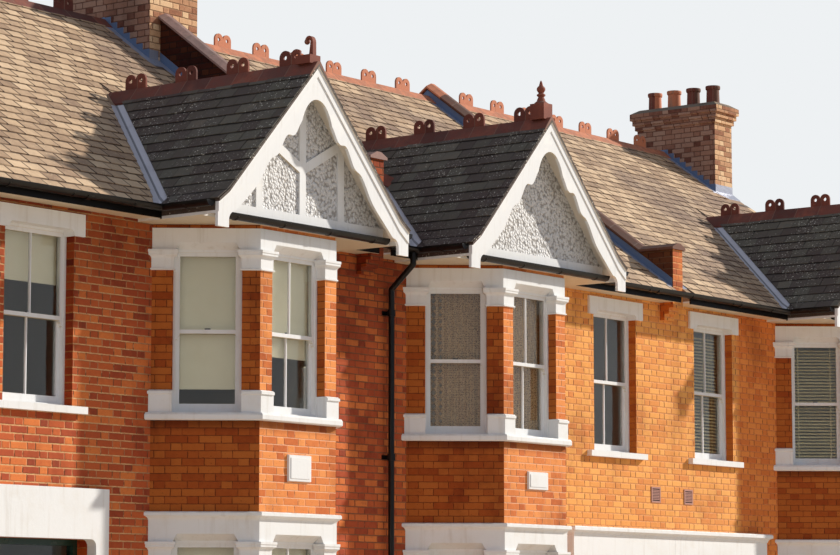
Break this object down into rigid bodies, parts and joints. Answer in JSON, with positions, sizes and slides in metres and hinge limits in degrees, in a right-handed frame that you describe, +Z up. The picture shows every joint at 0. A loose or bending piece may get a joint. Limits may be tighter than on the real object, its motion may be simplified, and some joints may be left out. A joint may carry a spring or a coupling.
{
  "type": "terraced house row",
  "caption": "Row of brick terraced houses, two storeys high, with canted bays under rendered gables, slate roofs, party parapets, chimneys and paired porches.",
  "frame": {"origin": "middle of the row on the front wall's face at ground level", "axes": "+X along the row to the right as seen from the street, +Y from the street into the houses, +Z up"},
  "size_m": [18.8055, 8.9383, 10.0803],
  "materials": {
    "brick": "matt, Flemish bond with pale mortar",
    "chimney_brick": "matt, sooted brown stock brick",
    "painted_stone": "matt off-white masonry paint",
    "white_woodwork": "satin white paint",
    "door_paint": "satin dark paint",
    "floor_boards": "plain softwood boards",
    "window_glass": "clear",
    "weathered_slate": "matt, weathered brown slates with lichen",
    "dark_slate": "matt, dark grey slates with lichen specks",
    "pebbledash": "rough painted pebbledash",
    "terracotta": "matt red clay",
    "sheet_lead": "dull grey lead",
    "black_iron": "satin black paint",
    "cream_paint": "satin cream paint",
    "blind_cloth": "pale roller blind",
    "lace": "net and lace curtain",
    "blind_slats": "pale slatted blind"
  },
  "bodies": {
    "root": {"party_wall_1": "brick", "party_wall_2": "brick", "party_wall_3": "brick", "party_wall_4": "brick", "front_wall_1": "brick", "front_wall_2": "brick", "front_wall_3": "brick", "rear_wall": "brick", "ground_floor": "floor_boards", "upper_floor": "floor_boards", "bay_brick_1": "brick", "bay_brick_2": "brick", "bay_brick_3": "brick", "bay_brick_tops": "brick", "bay_stone_1": "painted_stone", "bay_stone_2": "painted_stone", "bay_stone_3": "painted_stone", "bay_windows_1": "white_woodwork", "bay_windows_2": "white_woodwork", "bay_windows_3": "white_woodwork", "front_windows": "white_woodwork", "rear_windows": "white_woodwork", "glass_ground": "window_glass", "glass_upper": "window_glass", "window_lintels": "painted_stone", "window_sills": "painted_stone", "porch_left": "painted_stone", "porch_middle": "painted_stone", "front_doors": "door_paint", "rear_doors": "door_paint", "roof_front": "weathered_slate", "roof_rear": "weathered_slate", "gable_wall_1": "pebbledash", "gable_wall_2": "pebbledash", "gable_wall_3": "pebbledash", "gable_timbers": "white_woodwork", "bargeboards_1": "white_woodwork", "bargeboards_2": "white_woodwork", "bargeboards_3": "white_woodwork", "gable_roof_1": "dark_slate", "gable_roof_2": "dark_slate", "gable_roof_3": "dark_slate", "ridge_tiles": "terracotta", "finials": "terracotta", "leadwork": "sheet_lead", "parapet_coping": "terracotta", "chimney_1": "chimney_brick", "chimney_2": "chimney_brick", "chimney_pots": "terracotta", "gutters": "black_iron", "downpipe": "black_iron", "eaves_boards": "white_woodwork"}
  },
  "joints": []
}
